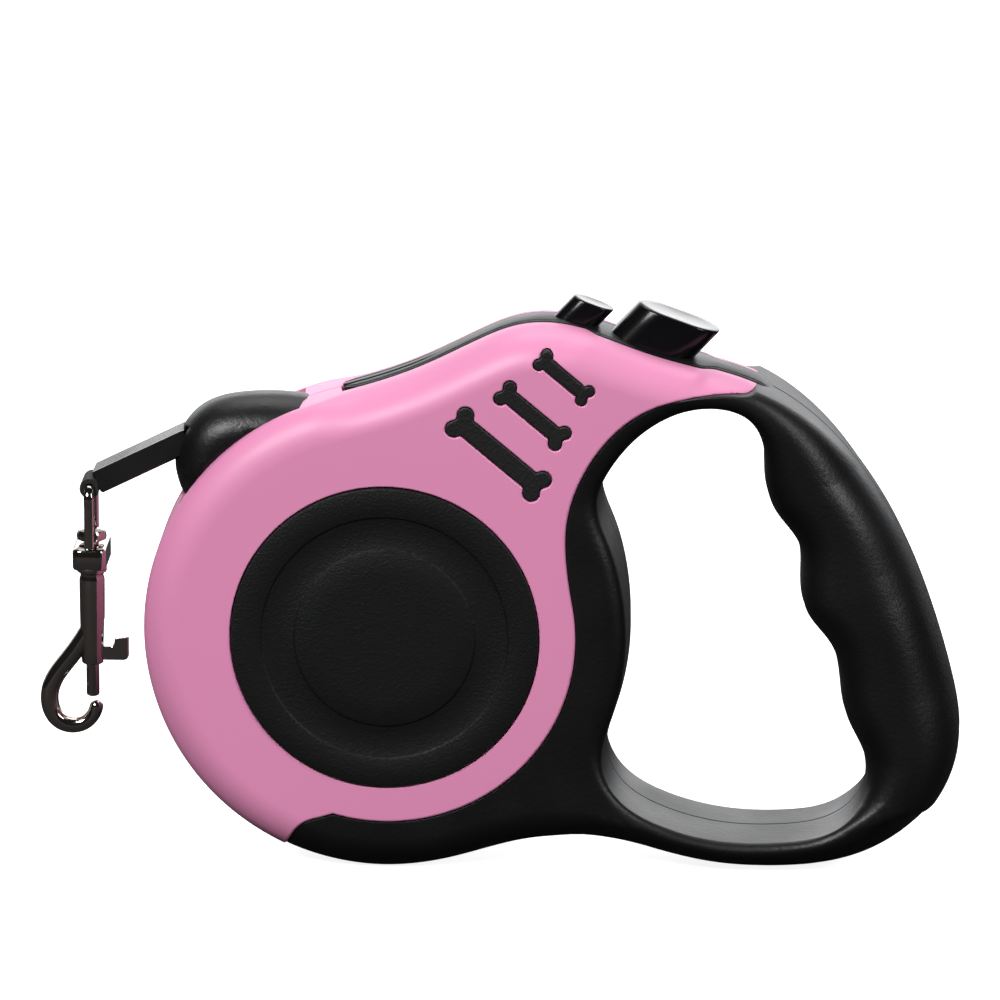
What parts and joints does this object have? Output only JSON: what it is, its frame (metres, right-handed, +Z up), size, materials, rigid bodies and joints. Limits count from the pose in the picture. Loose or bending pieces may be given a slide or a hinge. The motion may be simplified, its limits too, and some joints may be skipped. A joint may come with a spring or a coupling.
{
  "type": "retractable dog leash",
  "caption": "Retractable tape leash with a round drum, a closed hand grip, brake and lock buttons on top, and a swivel snap hook at the tape's end.",
  "frame": {"origin": "middle of the box under the object, on the ground that the drum and the grip stand on", "axes": "+X from the drum to the grip, +Y from the front face to the rear face, +Z up"},
  "size_m": [0.1753, 0.03, 0.1096],
  "materials": {
    "pink_abs": "satin moulded ABS, candy pink",
    "black_grip": "fine-grained soft-touch black",
    "black_textured": "eroded-texture black",
    "black_inlay": "satin black",
    "gloss_black": "polished black",
    "white_acetal": "natural acetal",
    "sleeve": "satin black",
    "tape": "woven black nylon",
    "nickel": "polished nickel plate on zinc",
    "spring_steel": "bright steel"
  },
  "bodies": {
    "casing": {"front_cover": "pink_abs", "rear_cover": "pink_abs", "front_grip": "black_grip", "rear_grip": "black_grip", "front_disc": "black_textured", "rear_disc": "black_textured", "front_bones": "black_inlay", "rear_bones": "black_inlay", "nose_guide": "black_inlay", "axle_post": "black_inlay", "tape_lead": "tape", "clock_spring": "spring_steel", "brake_spring": "spring_steel", "lock_spring": "spring_steel", "casing_screws": "spring_steel", "axle_screws": "spring_steel"},
    "reel_unit": {"reel": "white_acetal", "reel_cover": "white_acetal", "wound_tape": "tape"},
    "tape_end": {"tape_end_sleeve": "sleeve", "tape_end_loop": "tape"},
    "eye": {"swivel_eye": "nickel"},
    "hook": {"hook_body": "nickel", "swivel_rivet": "nickel", "bolt_spring": "spring_steel"},
    "hook_bolt": {"bolt": "nickel"},
    "brake": {"brake_button": "gloss_black"},
    "lock": {"lock_button": "gloss_black"}
  },
  "joints": [
    {"name": "reel_spin", "type": "hinge", "parent": "casing", "child": "reel_unit", "pos_m": [-0.0207, 0, 0.046], "axis": [0, -1, 0], "range_deg": [0, 6120], "stiffness_Nm_per_rad": 0.0012, "springref_deg": -1799.09, "deforming": ["clock_spring"]},
    {"name": "tape_pull", "type": "slide", "parent": "casing", "child": "tape_end", "axis": [-0.8988, 0, -0.4384], "range_m": [0, 2.89]},
    {"name": "eye_swing", "type": "hinge", "parent": "tape_end", "child": "eye", "pos_m": [-0.0773, 0, 0.0717], "axis": [0, 1, 0], "range_deg": [-2, 100]},
    {"name": "hook_swivel", "type": "hinge", "parent": "eye", "child": "hook", "pos_m": [-0.0773, 0, 0.058], "axis": [0, 0, 1], "continuous": true},
    {"name": "bolt_slide", "type": "slide", "parent": "hook", "child": "hook_bolt", "axis": [0, 0, 1], "range_m": [0, 0.005], "stiffness_N_per_m": 150, "springref_m": -0.005, "deforming": ["bolt_spring"]},
    {"name": "brake_press", "type": "slide", "parent": "casing", "child": "brake", "axis": [-0.682, 0, -0.7314], "range_m": [0, 0.0035], "stiffness_N_per_m": 600, "springref_m": -0.004, "deforming": ["brake_spring"]},
    {"name": "lock_press", "type": "slide", "parent": "casing", "child": "lock", "axis": [-0.682, 0, -0.7314], "range_m": [0, 0.002], "stiffness_N_per_m": 400, "springref_m": -0.003, "deforming": ["lock_spring"]}
  ],
  "couplings": [
    {"joint": "tape_pull", "follows": "reel_spin", "m_per_rad": 0.02705}
  ]
}
